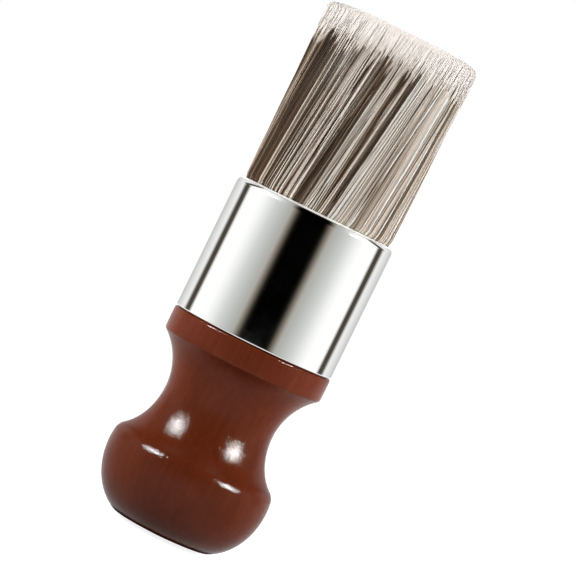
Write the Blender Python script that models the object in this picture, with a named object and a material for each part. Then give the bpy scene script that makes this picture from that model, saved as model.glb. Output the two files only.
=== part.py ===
"""Round leather polish brush: a turned handle, a plated ferrule and a potted knot of filaments.

Metres, +Z up. The origin is the centre of the flat foot on which the brush stands, and the
whole brush is turned about the Z axis. Every piece is drawn from its own lower end and is
placed by its location.
"""

from math import asin, cos, pi, radians, sin, sqrt

import bmesh
import bpy
from mathutils import Matrix, Vector

# Handle, from the foot up
FOOT_RADIUS = 0.0084            # flat on which the brush stands
BULB_RADIUS = 0.02044           # widest place of the palm bulb
BULB_HEIGHT = 0.0152            # foot to that widest place
BULB_SHOULDER = 0.0041          # widest place to the arris where the cove begins
ARRIS_EASE = 0.0013             # how far that arris is sanded back on each side
LOWER_COVE = 0.0126             # arris to the neck
LOWER_COVE_SWEEP = radians(66)  # part of a quarter ellipse that this side of the cove takes
NECK_RADIUS = 0.0139            # thinnest place of the cove
UPPER_COVE = 0.0124             # neck to the collar
UPPER_COVE_SWEEP = radians(52)
COLLAR_HEIGHT = 0.0057          # collar under the ferrule
COLLAR_PROUD = 0.00005          # how far the collar's ends stand out past the ferrule
COLLAR_BARREL = 0.00005         # how much fuller the collar is at its middle
COLLAR_EASE = 0.00035           # sanded lower edge of the collar
SHOULDER_EASE = 0.0005          # sanded edge next to the seam
TENON_CHAMFER = 0.0010
GROOVES = 2                     # glue grooves round the tenon, evenly spread
GROOVE_WIDTH = 0.0020
GROOVE_DEPTH = 0.0012

# Ferrule
FERRULE_RADIUS = 0.0200
FERRULE_HEIGHT = 0.0337
FERRULE_WALL = 0.0006
LIP_BEND = 0.0009               # inner radius of the lip that is turned in at the mouth
LIP_TURN = radians(65)          # how far the lip is turned in
RIM_EASE = 0.00022              # rounding of the lower rim

# Knot
HEAD_HEIGHT = 0.0468            # mouth to the highest tips
HEAD_FLARE = 0.00065            # how much the bundle spreads from the mouth to the tips
ROOT_SPREAD = 0.0043            # free length of the strands from the binding to the lip
POTTING_SLICE = 0.0024          # layer of the potting that the roots stand in
RESIN_DEPTH = 0.0055            # rest of the potting, behind that layer
RESIN_DISH = 0.0009             # hollow that the resin leaves as it creeps up the wall
KNOT_TWIST = radians(15)        # turn of the bundle from mouth to tips
STRAND_RINGS = 8                # 6 * rings * rings strands
STRAND_GAP = 0.0003             # between neighbours at the roots
TIP_WIDTH = 0.6                 # strand width at the tip over its width at the root
TIP_WANDER = 0.0002             # how far a tip strays from its place in the bundle
TIP_SCATTER = 0.0005            # uneven length of the strands
TIP_DOME = 0.0010               # how much lower the crown is at its edge
TIP_SHOULDER = 0.0007           # rounding of the crown's rim
TIP_SHOULDER_POWER = 12         # how close to the rim that rounding stays

# Thread that ties the bundle above its roots
THREAD_DIAMETER = 0.0008
THREAD_GAP = 0.00045            # between one turn and the next
THREAD_TURNS = 4
BINDING_ROOM = 0.0004           # between the thread and the ferrule's bore

# Fits and facets
CLEARANCE = 0.0003              # between pieces that touch
SEGMENTS = 48                   # round a turned piece
ARC_STEPS = 7                   # along an arc of a profile
THREAD_POINTS = 24              # for each turn of the thread
GOLDEN_SHARE = (sqrt(5) - 1) / 2  # spreads the strands' small differences evenly

# Heights above the foot, and what the pieces inside take from the ferrule
ARRIS_HEIGHT = BULB_HEIGHT + BULB_SHOULDER
NECK_HEIGHT = ARRIS_HEIGHT + LOWER_COVE
COLLAR_BASE = NECK_HEIGHT + UPPER_COVE
SHOULDER_HEIGHT = COLLAR_BASE + COLLAR_HEIGHT
FERRULE_BASE = SHOULDER_HEIGHT + CLEARANCE
MOUTH_HEIGHT = FERRULE_BASE + FERRULE_HEIGHT
COLLAR_RADIUS = FERRULE_RADIUS + COLLAR_PROUD
BORE_RADIUS = FERRULE_RADIUS - FERRULE_WALL
FIT_RADIUS = BORE_RADIUS - CLEARANCE

LIP_CURL = LIP_BEND + FERRULE_WALL
LIP_HEIGHT = LIP_CURL * sin(LIP_TURN)
LIP_RADIUS = FERRULE_RADIUS - LIP_CURL + LIP_BEND * cos(LIP_TURN)
BUNDLE_AT_LIP = LIP_RADIUS - CLEARANCE
HEAD_RADIUS = BUNDLE_AT_LIP + HEAD_FLARE

THREAD_PITCH = THREAD_DIAMETER + THREAD_GAP
BINDING_HEIGHT = THREAD_TURNS * THREAD_PITCH + THREAD_DIAMETER + CLEARANCE
ROOTS_TO_LIP = BINDING_HEIGHT + ROOT_SPREAD
ROOT_DEPTH = ROOTS_TO_LIP + LIP_HEIGHT
ROOT_HEIGHT = MOUTH_HEIGHT - ROOT_DEPTH
RESIN_BASE = ROOT_HEIGHT - POTTING_SLICE - CLEARANCE - RESIN_DEPTH
TENON_HEIGHT = RESIN_BASE - CLEARANCE - SHOULDER_HEIGHT

# The bundle widens evenly from its roots to the lip, and the top turn of its binding has to
# clear the bore, which gives the radius at the roots
BUNDLE_AT_BINDING = BORE_RADIUS - BINDING_ROOM - THREAD_DIAMETER - CLEARANCE
BINDING_SHARE = BINDING_HEIGHT / ROOTS_TO_LIP
ROOT_RADIUS = (BUNDLE_AT_BINDING - BUNDLE_AT_LIP * BINDING_SHARE) / (1 - BINDING_SHARE)


def clear_scene():
    for obj in list(bpy.data.objects):
        bpy.data.objects.remove(obj)


def hex_colour(text):
    """Linear RGBA of an sRGB hex colour."""
    channels = [int(text[i:i + 2], 16) / 255 for i in (0, 2, 4)]
    linear = [c / 12.92 if c <= 0.04045 else ((c + 0.055) / 1.055) ** 2.4 for c in channels]
    return (*linear, 1.0)


def material(name, colour, roughness, metallic=0.0, coat=0.0):
    made = bpy.data.materials.new(name)
    made.use_nodes = True
    shader = made.node_tree.nodes["Principled BSDF"]
    shader.inputs["Base Color"].default_value = hex_colour(colour)
    shader.inputs["Roughness"].default_value = roughness
    shader.inputs["Metallic"].default_value = metallic
    shader.inputs["Coat Weight"].default_value = coat
    made.diffuse_color = hex_colour(colour)
    return made


def lacquered_wood():
    return material("red_brown_lacquered_wood", "6B2E19", 0.35, coat=0.8)


def chrome_plate():
    return material("chrome_plate", "E6E6E3", 0.06, metallic=1.0)


def mixed_filament():
    return material("mixed_nylon_filament", "A8998C", 0.55)


def potting_resin():
    return material("amber_potting_resin", "B98A4A", 0.25)


def waxed_thread():
    return material("waxed_linen_thread", "D8CBB0", 0.7)


def wood_glue():
    return material("set_wood_glue", "D9B877", 0.4)


def piece(name, data, finish, height, parent):
    """Places what was drawn from its own lower end, height above the foot."""
    data.materials.append(finish)
    obj = bpy.data.objects.new(name, data)
    bpy.context.scene.collection.objects.link(obj)
    obj.parent = parent
    obj.location = (0, 0, height)
    return obj


def turned_mesh(name, profile, closed=False):
    """Spins a profile of (radius, height) points once round Z. A closed profile makes a ring."""
    bm = bmesh.new()
    verts = [bm.verts.new((r, 0, z)) for r, z in profile]
    pairs = list(zip(verts, verts[1:])) + ([(verts[-1], verts[0])] if closed else [])
    edges = [bm.edges.new(pair) for pair in pairs]
    bmesh.ops.spin(
        bm, geom=verts + edges, cent=(0, 0, 0), axis=(0, 0, 1), angle=2 * pi, steps=SEGMENTS
    )
    bmesh.ops.remove_doubles(bm, verts=bm.verts, dist=1e-6)
    bmesh.ops.recalc_face_normals(bm, faces=bm.faces)
    mesh = bpy.data.meshes.new(name)
    bm.to_mesh(mesh)
    bm.free()
    mesh.shade_smooth()
    mesh.set_sharp_from_angle(angle=radians(35))
    return mesh


def arc(centre, half_width, half_height, start, end, steps=ARC_STEPS):
    """Points of an ellipse's arc. Its angles run from +radius towards +Z, ends included."""
    angles = [start + (end - start) * i / steps for i in range(steps + 1)]
    return [
        (centre[0] + half_width * cos(a), centre[1] + half_height * sin(a)) for a in angles
    ]


def cove_side(end, sweep):
    """Hollow arc from the neck, where it runs along the axis, out to the end point."""
    half_height = (end[1] - NECK_HEIGHT) / sin(sweep)
    half_width = (end[0] - NECK_RADIUS) / (1 - cos(sweep))
    return arc((NECK_RADIUS + half_width, NECK_HEIGHT), -half_width, half_height, 0, sweep)


def eased(before, after, ease, steps=3):
    """Joins two runs of points that meet in one corner, and rounds that corner by ease."""
    corner = Vector(after[0])
    before = [p for p in before if (Vector(p) - corner).length > ease]
    after = [p for p in after if (Vector(p) - corner).length > ease]
    start = corner + (Vector(before[-1]) - corner).normalized() * ease
    end = corner + (Vector(after[0]) - corner).normalized() * ease
    bend = []
    for i in range(steps + 1):
        t = i / steps
        bend.append(tuple(start * (1 - t) ** 2 + corner * 2 * t * (1 - t) + end * t ** 2))
    return before + bend + after


def bulb_profile():
    """Part of an ellipse from the foot's edge up to the widest place, and on to the arris."""
    centre = (FOOT_RADIUS, BULB_HEIGHT)
    width = BULB_RADIUS - FOOT_RADIUS
    top = asin(min(0.9, BULB_SHOULDER / BULB_HEIGHT))
    palm = arc(centre, width, BULB_HEIGHT, -pi / 2, 0, ARC_STEPS + 1)
    return palm + arc(centre, width, BULB_HEIGHT, 0, top, 2)[1:]


def collar_profile():
    """Barrelled side of the collar, upwards."""
    steps = 4
    points = []
    for i in range(steps + 1):
        t = i / steps
        barrel = COLLAR_BARREL * 4 * t * (1 - t)
        points.append((COLLAR_RADIUS + barrel, COLLAR_BASE + COLLAR_HEIGHT * t))
    return points


def groove_heights():
    """Middle heights of the glue grooves, spread evenly along the tenon."""
    return [SHOULDER_HEIGHT + TENON_HEIGHT * (i + 1) / (GROOVES + 1) for i in range(GROOVES)]


def tenon_profile():
    """From the shoulder up to the tenon's end, with the grooves that hold the glue."""
    points = [(FIT_RADIUS, SHOULDER_HEIGHT)]
    for middle in groove_heights():
        low, high = middle - GROOVE_WIDTH / 2, middle + GROOVE_WIDTH / 2
        floor = FIT_RADIUS - GROOVE_DEPTH
        points += [(FIT_RADIUS, low), (floor, low), (floor, high), (FIT_RADIUS, high)]
    end = SHOULDER_HEIGHT + TENON_HEIGHT
    points += [(FIT_RADIUS, end - TENON_CHAMFER), (FIT_RADIUS - TENON_CHAMFER, end), (0, end)]
    return points


def make_handle(parent):
    """One turning: foot, palm bulb, cove, collar, shoulder and tenon."""
    bulb = bulb_profile()
    collar = collar_profile()
    lower_cove = cove_side(bulb[-1], LOWER_COVE_SWEEP)[::-1]
    upper_cove = cove_side(collar[0], UPPER_COVE_SWEEP)[1:]
    outline = eased(bulb, lower_cove, ARRIS_EASE)
    outline = eased(outline + upper_cove, collar, COLLAR_EASE)
    outline = eased(outline, [collar[-1], *tenon_profile()], SHOULDER_EASE)
    mesh = turned_mesh("handle", [(0, 0), *outline])
    return piece("handle", mesh, lacquered_wood(), 0, parent)


def make_ferrule(parent):
    """Drawn tube whose mouth is curled inwards, so that the knot can't pull out."""
    centre = (FERRULE_RADIUS - LIP_CURL, FERRULE_HEIGHT - LIP_HEIGHT)
    ease = min(RIM_EASE, FERRULE_WALL * 0.8)
    rim_centre = (FERRULE_RADIUS - ease, ease)
    outer = arc(centre, LIP_CURL, LIP_CURL, LIP_TURN, 0)
    rim = arc(rim_centre, ease, ease, 0, -pi / 2, 3)
    inner = arc(centre, LIP_BEND, LIP_BEND, 0, LIP_TURN, 4)
    mesh = turned_mesh("ferrule", [*outer, *rim, (BORE_RADIUS, 0), *inner], closed=True)
    return piece("ferrule", mesh, chrome_plate(), FERRULE_BASE, parent)


def make_glue_rings(parent):
    """Glue that has set in each groove of the tenon, against the ferrule's bore."""
    finish = wood_glue()
    inside = FIT_RADIUS - GROOVE_DEPTH + CLEARANCE
    height = GROOVE_WIDTH - 2 * CLEARANCE
    profile = [(FIT_RADIUS, height), (FIT_RADIUS, 0), (inside, 0), (inside, height)]
    for number, middle in enumerate(groove_heights(), start=1):
        name = f"glue_ring_{number}"
        mesh = turned_mesh(name, profile, closed=True)
        piece(name, mesh, finish, middle - height / 2, parent)


def make_resin_plug(parent):
    """Potting behind the roots, flat above and dished towards the tenon."""
    edge = FIT_RADIUS - RESIN_DISH
    steps = 4
    dish = []
    for i in range(steps + 1):
        outward = 1 - i / steps
        dish.append((edge * outward, RESIN_DISH * (1 - outward ** 2)))
    profile = [(0, RESIN_DEPTH), (FIT_RADIUS, RESIN_DEPTH), (FIT_RADIUS, 0), *dish]
    mesh = turned_mesh("resin_plug", profile)
    return piece("resin_plug", mesh, potting_resin(), RESIN_BASE, parent)


def bundle_radius(height):
    """Outer radius of the bundle at a height above the roots, up to the lip."""
    return ROOT_RADIUS + (BUNDLE_AT_LIP - ROOT_RADIUS) * height / ROOTS_TO_LIP


def binding_path():
    """Middle line of the thread, an open helix that follows the bundle as it widens."""
    path = []
    for i in range(THREAD_TURNS * THREAD_POINTS + 1):
        turns = i / THREAD_POINTS
        height = CLEARANCE + THREAD_DIAMETER / 2 + THREAD_PITCH * turns
        radius = bundle_radius(height + THREAD_DIAMETER / 2) + CLEARANCE + THREAD_DIAMETER / 2
        path.append(Vector((radius * cos(2 * pi * turns), radius * sin(2 * pi * turns), height)))
    return path


def make_root_binding(parent):
    """Thread wound round the bundle above the potting, as one unbroken tube."""
    path = binding_path()
    half_turn = THREAD_POINTS // 2
    least = min(
        (path[i] - path[j]).length
        for i in range(len(path))
        for j in range(i + half_turn, len(path))
    )
    print(f"root binding: least gap to itself {(least - THREAD_DIAMETER) * 1000:.2f} mm")
    curve = bpy.data.curves.new("root_binding", "CURVE")
    curve.dimensions = "3D"
    curve.bevel_depth = THREAD_DIAMETER / 2
    curve.bevel_resolution = 1
    curve.use_fill_caps = True
    spline = curve.splines.new("POLY")
    spline.points.add(len(path) - 1)
    for point, place in zip(spline.points, path):
        point.co = (*place, 1)
    return piece("root_binding", curve, waxed_thread(), ROOT_HEIGHT, parent)


def strand_cells(bm):
    """A disc of near-equal triangles, 6 * (2k - 1) of them in ring k, and its rim's vertices."""
    rings = [[bm.verts.new((0, 0, 0))]]
    for k in range(1, STRAND_RINGS + 1):
        radius = ROOT_RADIUS * k / STRAND_RINGS
        turns = [2 * pi * j / (6 * k) for j in range(6 * k)]
        rings.append([bm.verts.new((radius * cos(a), radius * sin(a), 0)) for a in turns])
    cells = []
    for k in range(1, STRAND_RINGS + 1):
        outer, inner = rings[k], rings[k - 1]
        for sector in range(6):
            for j in range(k):
                near = inner[(sector * (k - 1) + j) % len(inner)]
                far = outer[sector * k + j]
                next_far = outer[(sector * k + j + 1) % len(outer)]
                cells.append(bm.faces.new((near, far, next_far)))
                if j < k - 1:
                    next_near = inner[(sector * (k - 1) + j + 1) % len(inner)]
                    cells.append(bm.faces.new((near, next_far, next_near)))
    return cells, rings[-1]


def close_slice(bm, rim):
    """Widens the disc of cells to the bore, and closes it below as the potted layer."""
    wide = [bm.verts.new(v.co.normalized() * FIT_RADIUS) for v in rim]
    base = [bm.verts.new(v.co - Vector((0, 0, POTTING_SLICE))) for v in wide]
    for i in range(len(rim)):
        j = (i + 1) % len(rim)
        bm.faces.new((rim[i], wide[i], wide[j], rim[j]))
        bm.faces.new((wide[i], base[i], base[j], wide[j]))
    bm.faces.new(base[::-1])


def tip_height(share, number):
    """Height of a strand's tip over the roots. share is its place from the axis to the rim."""
    scatter = TIP_SCATTER * (number * GOLDEN_SHARE % 1)
    crown = TIP_DOME * share ** 2 + TIP_SHOULDER * share ** TIP_SHOULDER_POWER
    return ROOT_DEPTH + HEAD_HEIGHT - crown - scatter


def grow_strand(bm, cell, number):
    """Extrudes one cell up to the lip and on to its tip, along the spread and twist of the knot."""
    middle = cell.calc_center_median()
    share = middle.length / ROOT_RADIUS
    corners = [v.co - middle for v in cell.verts]
    heading = Matrix.Rotation(2 * pi * GOLDEN_SHARE * number, 3, "Z")
    stray = heading @ Vector((TIP_WANDER * (1 - share), 0, 0))
    stations = (
        (ROOTS_TO_LIP, BUNDLE_AT_LIP, 0.0, Vector(), 1.0),
        (tip_height(share, number), HEAD_RADIUS, KNOT_TWIST, stray, TIP_WIDTH),
    )
    for height, radius, twist, offset, width in stations:
        cell = bmesh.ops.extrude_discrete_faces(bm, faces=[cell])["faces"][0]
        turn = Matrix.Rotation(twist, 3, "Z")
        centre = turn @ middle * (radius / ROOT_RADIUS) + offset + Vector((0, 0, height))
        for vert, corner in zip(cell.verts, corners):
            vert.co = centre + turn @ corner * width


def make_bristles(parent):
    """The visible knot: strands that stand in the top layer of the potting, as one piece."""
    bm = bmesh.new()
    cells, rim = strand_cells(bm)
    close_slice(bm, rim)
    bmesh.ops.inset_individual(bm, faces=cells, thickness=STRAND_GAP / 2, use_even_offset=True)
    for number, cell in enumerate(cells):
        grow_strand(bm, cell, number)
    mesh = bpy.data.meshes.new("bristles")
    bm.to_mesh(mesh)
    bm.free()
    print(f"knot: {len(cells)} strands")
    return piece("bristles", mesh, mixed_filament(), ROOT_HEIGHT, parent)


def main():
    clear_scene()
    brush = bpy.data.objects.new("polish_brush", None)
    bpy.context.scene.collection.objects.link(brush)
    make_handle(brush)
    make_ferrule(brush)
    make_glue_rings(brush)
    make_resin_plug(brush)
    make_root_binding(brush)
    make_bristles(brush)


main()
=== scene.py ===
"""Looks of a round leather polish brush: turned handle, plated ferrule and a knot of filaments."""

from functools import partial
from math import asin, cos, pi, radians, sin, sqrt

import bmesh
import bpy
import numpy as np
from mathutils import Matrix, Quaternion, Vector


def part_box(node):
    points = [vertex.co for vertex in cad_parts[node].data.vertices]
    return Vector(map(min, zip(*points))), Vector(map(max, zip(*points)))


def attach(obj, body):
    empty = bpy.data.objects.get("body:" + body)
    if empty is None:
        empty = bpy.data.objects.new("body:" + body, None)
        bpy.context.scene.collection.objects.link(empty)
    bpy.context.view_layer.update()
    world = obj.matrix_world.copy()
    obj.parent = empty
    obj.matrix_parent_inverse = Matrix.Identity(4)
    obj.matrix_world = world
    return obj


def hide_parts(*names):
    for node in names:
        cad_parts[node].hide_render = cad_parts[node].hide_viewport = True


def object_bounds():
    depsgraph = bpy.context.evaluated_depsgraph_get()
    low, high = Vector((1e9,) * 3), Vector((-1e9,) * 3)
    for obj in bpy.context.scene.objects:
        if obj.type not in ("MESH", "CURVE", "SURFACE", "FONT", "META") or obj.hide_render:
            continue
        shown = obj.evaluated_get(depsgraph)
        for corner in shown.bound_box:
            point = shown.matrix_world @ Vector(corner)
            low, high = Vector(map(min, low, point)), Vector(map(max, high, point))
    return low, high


bl_info = {
    "name": "Leather Polish Brush",
    "version": (1, 0, 0),
    "blender": (4, 5, 0),
    "location": "3D View > Sidebar > Brush",
    "description": "Models and finishes a round polish brush on its packed frame",
    "category": "Object",
}

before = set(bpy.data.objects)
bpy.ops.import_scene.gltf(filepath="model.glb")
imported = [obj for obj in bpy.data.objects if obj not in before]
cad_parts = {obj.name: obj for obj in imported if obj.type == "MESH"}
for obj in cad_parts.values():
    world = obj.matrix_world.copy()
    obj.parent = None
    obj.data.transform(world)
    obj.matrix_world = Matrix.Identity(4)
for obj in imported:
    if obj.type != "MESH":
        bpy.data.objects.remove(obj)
CAD_LOW, CAD_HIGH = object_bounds()
HANDLE_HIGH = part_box("handle")[1]
FERRULE_LOW, FERRULE_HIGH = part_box("ferrule")
PLUG_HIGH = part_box("resin_plug")[1]
THREAD_LOW, THREAD_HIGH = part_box("root_binding")
KNOT_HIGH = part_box("bristles")[1]


def mm(length):
    """Metres of a length in millimetres."""
    return length / 1000


BODY = "root"
GLUE_RINGS = ("glue_ring_1", "glue_ring_2")
TURNED_SEGMENTS = 144  # round a turned or drawn piece
SMOOTH_BELOW = radians(35)  # angle of an edge that shades as a round surface
SAME_PLACE = 1e-6  # points closer than this are one
BEND_RING = mm(0.15)  # from a bend of the ferrule to the ring next to it
FIT_GAP = mm(0.3)  # between pieces that touch
ROOT_TOP = THREAD_LOW.z - FIT_GAP  # top of the potting that the filaments stand in
ROOT_REACH = mm(16.9)  # radius of the knot there
KNOT_REACH = mm(19.35)  # radius of the knot at its crown


def srgb(text):
    """Linear RGB of an sRGB hex colour."""
    channels = [int(text[i:i + 2], 16) / 255 for i in (0, 2, 4)]
    return tuple(c / 12.92 if c <= 0.04045 else ((c + 0.055) / 1.055) ** 2.4 for c in channels)


def prop(kind, convert, **always):
    """What makes properties of one kind, each from its name, its description and its value."""
    def describe(name, description, value, **also):
        value = convert(value)
        return kind(name=name, description=description, default=value, **always, **also)

    return describe


# Sizes are given in mm, angles in degrees and tints in sRGB hex
size = prop(bpy.props.FloatProperty, mm, min=0, unit="LENGTH", precision=5)
angle = prop(bpy.props.FloatProperty, radians, subtype="ANGLE")
amount = prop(bpy.props.FloatProperty, float, min=0)
share = prop(bpy.props.FloatProperty, float, min=0, max=1, subtype="FACTOR")
whole = prop(bpy.props.IntProperty, int)
tint = prop(bpy.props.FloatVectorProperty, srgb, size=3, min=0, max=1, subtype="COLOR")


class HandleSettings(bpy.types.PropertyGroup):
    foot_flat: size("Foot Flat", "Radius of the flat that it stands on", 5.0)
    foot_edge: size("Foot Edge", "Radius where the foot turns up", 12.2)
    bulb_middle: size("Bulb Middle", "Axis to the middle of the bulb's round", 8.4)
    bulb_height: size("Bulb Height", "Foot to the bulb's widest place", 15.2)
    bulb_shoulder: size("Bulb Shoulder", "Widest place to the arris", 4.1)
    arris_ease: size("Arris Ease", "How far the arris is sanded back", 1.3)
    lower_cove: size("Lower Cove", "Arris to the neck", 12.6)
    lower_sweep: angle("Lower Sweep", "Part of a quarter ellipse below the neck", 66)
    neck_radius: size("Neck", "Radius of the thinnest place", 13.9)
    upper_cove: size("Upper Cove", "Neck to the collar", 12.4)
    upper_sweep: angle("Upper Sweep", "Part of a quarter ellipse above the neck", 52)
    collar_height: size("Collar", "Length of the collar", 5.7)
    collar_proud: size("Collar Proud", "Collar's ends past the ferrule", 0.05)
    collar_barrel: size("Collar Barrel", "How much fuller the collar's middle is", 0.05)
    collar_ease: size("Collar Ease", "Sanded lower edge of the collar", 0.35)
    shoulder_ease: size("Shoulder Ease", "Sanded edge next to the seam", 0.5)
    groove_depth: size("Groove Depth", "Depth of a glue groove", 1.2)
    tenon_chamfer: size("Tenon Chamfer", "Chamfer at the end of the tenon", 1.0)
    stain: tint("Stain", "Red-brown of the stained wood", "582411")
    stain_dark: tint("Dark Grain", "Where the stain sinks into open grain", "501F0D")
    stain_light: tint("Light Grain", "Where close grain takes less stain", "602A15")


class FerruleSettings(bpy.types.PropertyGroup):
    wall: size("Wall", "Thickness of the drawn tube", 0.6)
    lip_start: size("Lip Start", "Mouth to the start of the lip", 1.85)
    lip_bend: size("Lip Bend", "Radius of the lip's bend", 1.75)
    lip_turn: angle("Lip Turn", "How far the lip is turned in", 74)
    rim_ease: size("Rim Ease", "Rounding of the lower rim", 0.12)
    plate: tint("Plate", "Colour that the chrome gives what it mirrors", "E4E5E3")


class BindingSettings(bpy.types.PropertyGroup):
    thread: size("Thread", "Diameter of the thread", 0.8)
    turns: whole("Turns", "How often the thread goes round", 4, min=1)
    widening: size("Widening", "Last turn's radius over the first's", 0.8)


class KnotSettings(bpy.types.PropertyGroup):
    filaments: whole("Filaments", "How many filaments the knot holds", 9500, min=2000)
    skin_layers: whole("Skin Layers", "Outer layers of filaments lying side by side", 4, min=1)
    thickness: size("Thickness", "Diameter of a filament below its taper", 0.33)
    tip_thickness: size("Tip Thickness", "Diameter of a filament's feathered end", 0.22)
    feather: size("Feather", "Length of a filament's taper", 4.0)
    twist: angle("Twist", "Turn of the knot from mouth to tips", 20)
    lock_stray: angle("Lock Stray", "Turn of a lock against its neighbours", 2.5)
    stray: angle("Stray", "Turn of a filament against its lock", 1.2)
    lock_width: size("Lock Width", "Usual width of a lock of filaments", 0.6)
    lip_room: size("Lip Room", "Gap between the lip and the knot", 0.08)
    bulge: size("Bulge", "How far the knot swells over the lip", 0.4)
    sway: size("Sway", "How far the crown stands to one side", 0.25)
    slice: size("Potting", "Layer of potting round the roots", 2.4)
    headroom: size("Headroom", "Top of the knot's room to its longest tips", 0.8)
    dome: size("Dome", "How much lower the crown is at its edge", 0.3)
    shoulder: size("Shoulder", "Rounding of the crown's rim", 1.1)
    uneven: size("Uneven", "How much shorter the shortest filaments are", 0.2)
    pale_tip: size("Pale Tip", "Length of a filament's pale end", 7.9)
    fibres: whole("Fibres", "Fine fibres that the ends split into", 14000, min=500)
    fibre_thickness: size("Fibre", "Diameter of a split fibre", 0.16)
    fibre_length: size("Fibre Length", "How far the ends are split", 6.5)
    even_light: share("Even Light", "How far light treats the knot as one smooth surface", 0.6)
    even_tips: share("Even Tips", "The same at the feathered ends", 0.93)
    rust: tint("Rust", "Reddish dyed filaments", "634433")
    dark: tint("Dark", "Darkest dyed filaments", "3D2F23")
    brown: tint("Brown", "Dyed filaments", "594838")
    taupe: tint("Taupe", "Half-dyed filaments", "806E5C")
    fawn: tint("Fawn", "Barely dyed filaments", "B3A79A")
    pale: tint("Pale", "Undyed filaments", "DCD3C9")
    cream: tint("Cream", "Palest filaments", "F8F2EA")
    cool: tint("Cool", "Pale filaments of a cooler white", "D6DAD8")
    fading: tint("Fading", "Filament where its dye ends", "D0C2B5")
    tip: tint("Tip", "Feathered ends of all filaments", "FDF5EE")


class StageSettings(bpy.types.PropertyGroup):
    tilt: angle("Tilt", "Lean of the brush in the picture", 26.105)
    camera_distance: size("Camera Distance", "Camera to the brush's axis", 750)
    camera_height: size("Camera Height", "Camera over the floor", 86)
    aim_right: size("Aim Right", "Middle of the picture beside the axis", 1.75)
    aim_height: size("Aim Height", "Middle of the picture over the foot", 64.9)
    picture_width: size("Picture Width", "Width of the picture", 134.4)
    lamp_turn: angle("Lamp Turn", "Softboxes to each side of the camera", 54)
    gleam_turn: angle("Gleam Turn", "Panels that gloss mirrors, to each side of it", 63)
    lamp_rise: angle("Lamp Rise", "Softboxes above the brush", 27)
    lamp_distance: size("Lamp Distance", "Softboxes to the brush", 700)
    lamp_width: size("Lamp Width", "Width of a softbox", 140)
    lamp_height: size("Lamp Height", "Height of a softbox", 180)
    lamp_power: amount("Lamp Power", "Power of each softbox", 2.15, unit="POWER")
    lamp_gleam: amount("Lamp Gleam", "Brightness of a softbox in gloss", 450)
    strip_power: amount("Strip Power", "Power of each low strip light", 0.17, unit="POWER")
    strip_distance: size("Strip Distance", "Strip lights to the brush", 110)
    strip_height: size("Strip Height", "Strip lights over the floor", 46)
    fill: amount("Fill", "Light from all round", 0.25)
    side_fill: amount("Side Fill", "Light that the room's sides add", 1.2)
    floor_glow: amount("Floor Glow", "Light that keeps the floor white where seen", 0.85)
    screen_distance: size("Screen Distance", "Screens to the brush", 900)
    screen_glow: amount("Screen Glow", "Brightness of a white screen in a mirror", 1.3)


# What the plating mirrors round the brush, as (angle from the camera, colour): a black flag,
# grey cloths, white walls, the dark gap between them and a paler wall behind
SCREENS = (
    (15, "010101"), (19, "17140F"), (22, "45403A"), (26, "7F766C"), (31, "ABA8A3"), (42, "B9BBB9"),
    (54, "CECFCE"), (70, "F1F1F1"), (80, "FEFEFE"), (106, "FEFEFE"), (112, "49423A"),
    (120, "49423A"), (128, "ECECEC"), (158, "BCBCBC"),
)
# What lies on the floor, in the same way: cloths up to the screens, a whiter one near the brush
# for the parts of its handle that face down, and the dark at its foot
FLOOR_CLOTHS = ((15, "8C8C8C"), (40, "A8A8A8"), (76, "FEFEFE"), (180, "E8E8E8"))
NEAR_CLOTH = ((30, "FEFEFE"), (60, "DCDCDC"), (80, "C4C4C4"))
FOOT_SHADE = ((0, "080808"), (180, "080808"))
NEAR_REACH, SHADE_REACH = mm(300), mm(13.4)  # radii of the last two
ROUND_SEGMENTS = 96  # round a screen or a cloth
# A card lies like a collar over the ferrule's lip, which mirrors it
CARD_REACH = mm(18)  # past the ferrule
CARD_GAP = mm(0.3)  # between the card's inner edge and the ferrule
CARD_RISE = mm(3)  # above the lip
# How far its colours lead the screens': this, over the distance from a ring round the axis
LEAD = radians(545) * mm(1)
LEAD_RING = mm(12)
STRIP_SIZE = (mm(40), mm(200))  # of a strip light
FLOOR_SIZE = 8  # m
SENSOR_WIDTH = 36  # mm


def set_inputs(node, inputs):
    """Gives a node's inputs, by name or in their order, their values or links. A node stands for
    its first output."""
    for socket, value in inputs.items() if isinstance(inputs, dict) else enumerate(inputs):
        if isinstance(value, bpy.types.Node):
            value = value.outputs[0]
        if isinstance(value, bpy.types.NodeSocket):
            node.id_data.links.new(value, node.inputs[socket])
        else:
            node.inputs[socket].default_value = value


def add_node(tree, kind, inputs=(), operation=None, stops=None, **settings):
    """Adds a shader node with its settings, its ramp's stops, and its inputs' values or links."""
    made = tree.nodes.new("ShaderNode" + kind)
    if operation:
        made.operation = operation
    for key, value in settings.items():
        setattr(made, key, value)
    set_inputs(made, inputs)
    if stops:
        elements = made.color_ramp.elements
        while len(elements) < len(stops):
            elements.new(1)
        for element, (place, colour) in zip(elements, stops):
            element.position = place
            element.color = (*colour, 1)
    return made


def new_material(name):
    """A material, what adds nodes to it, and its Principled shader, which is linked to the output."""
    made = bpy.data.materials.new(name)
    made.use_nodes = True
    return made, partial(add_node, made.node_tree), made.node_tree.nodes["Principled BSDF"]


def per_mm(count):
    """Texture scale, on coordinates in metres, of a pattern with that many features a mm."""
    return count * 1000


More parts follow.
